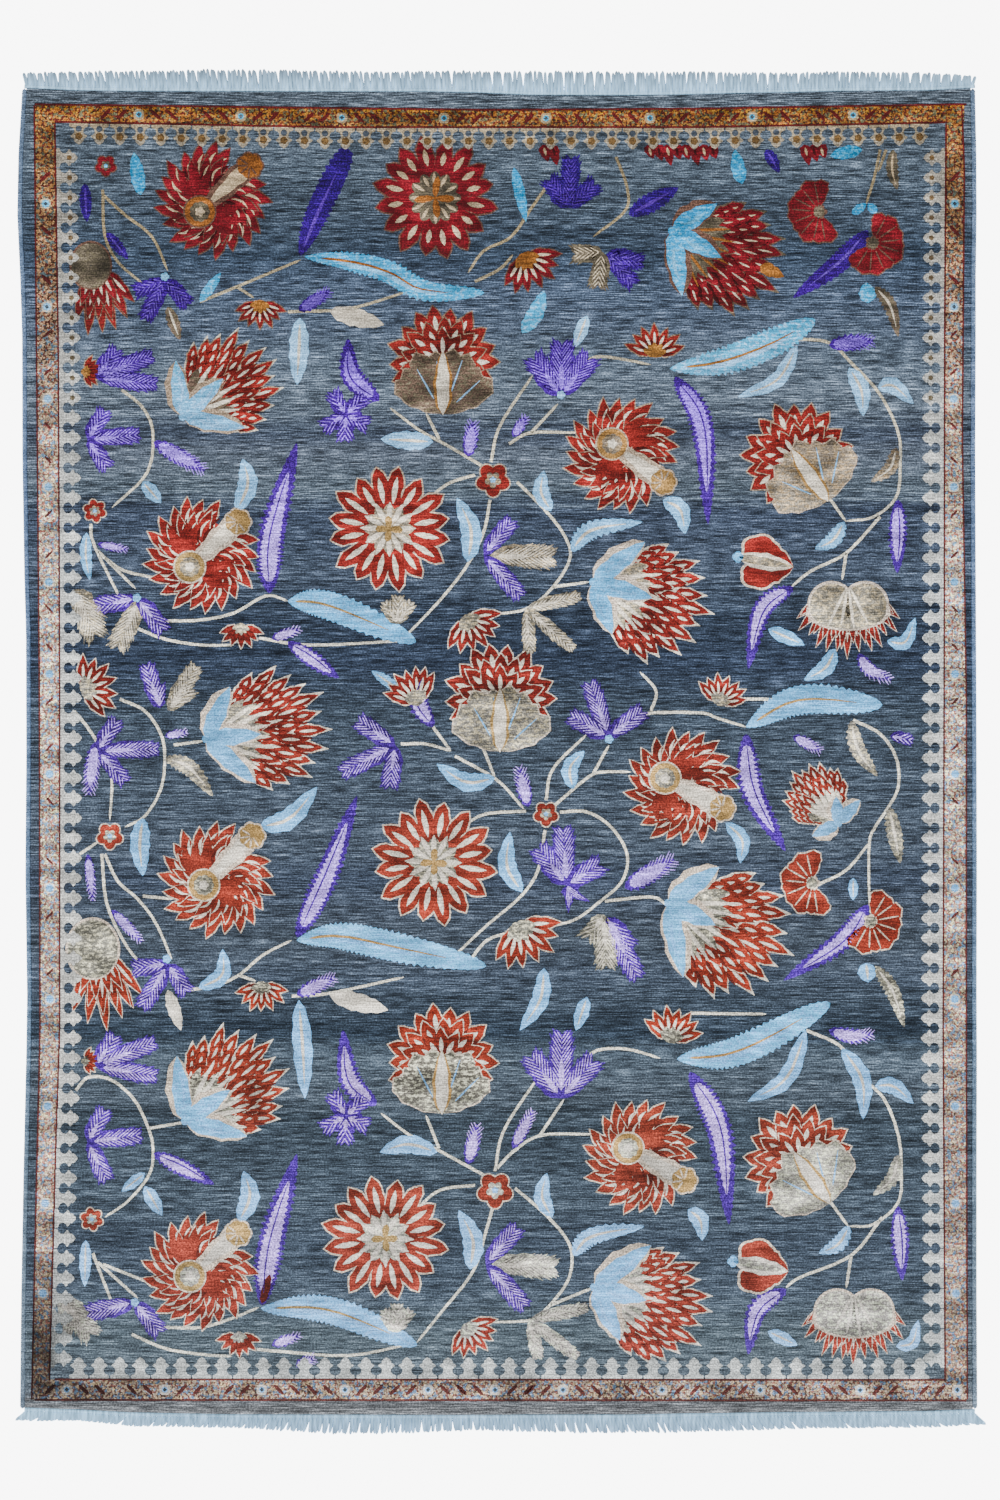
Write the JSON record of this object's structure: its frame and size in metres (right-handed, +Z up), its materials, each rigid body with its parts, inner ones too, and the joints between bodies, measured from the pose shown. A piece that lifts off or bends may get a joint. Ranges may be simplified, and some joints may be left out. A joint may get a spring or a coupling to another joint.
{
  "type": "rug",
  "caption": "Flat hand-knotted pile rug, oblong, with overcast long sides and a knotted fringe along both short ends.",
  "frame": {"origin": "centre of the whole outline, fringe included, on the underside of the rug", "axes": "+X across the rug to the picture's right, +Y along it to the picture's top, +Z up from the floor"},
  "size_m": [1.735, 2.431, 0.008],
  "materials": {
    "pile": "wool and silk cut pile",
    "selvedge_yarn": "wool yarn, overcast",
    "fringe_yarn": "twisted cotton warps"
  },
  "bodies": {
    "root": {"rug_pile": "pile", "selvedge_left": "selvedge_yarn", "selvedge_right": "selvedge_yarn", "fringe_far": "fringe_yarn", "fringe_near": "fringe_yarn"}
  },
  "joints": []
}
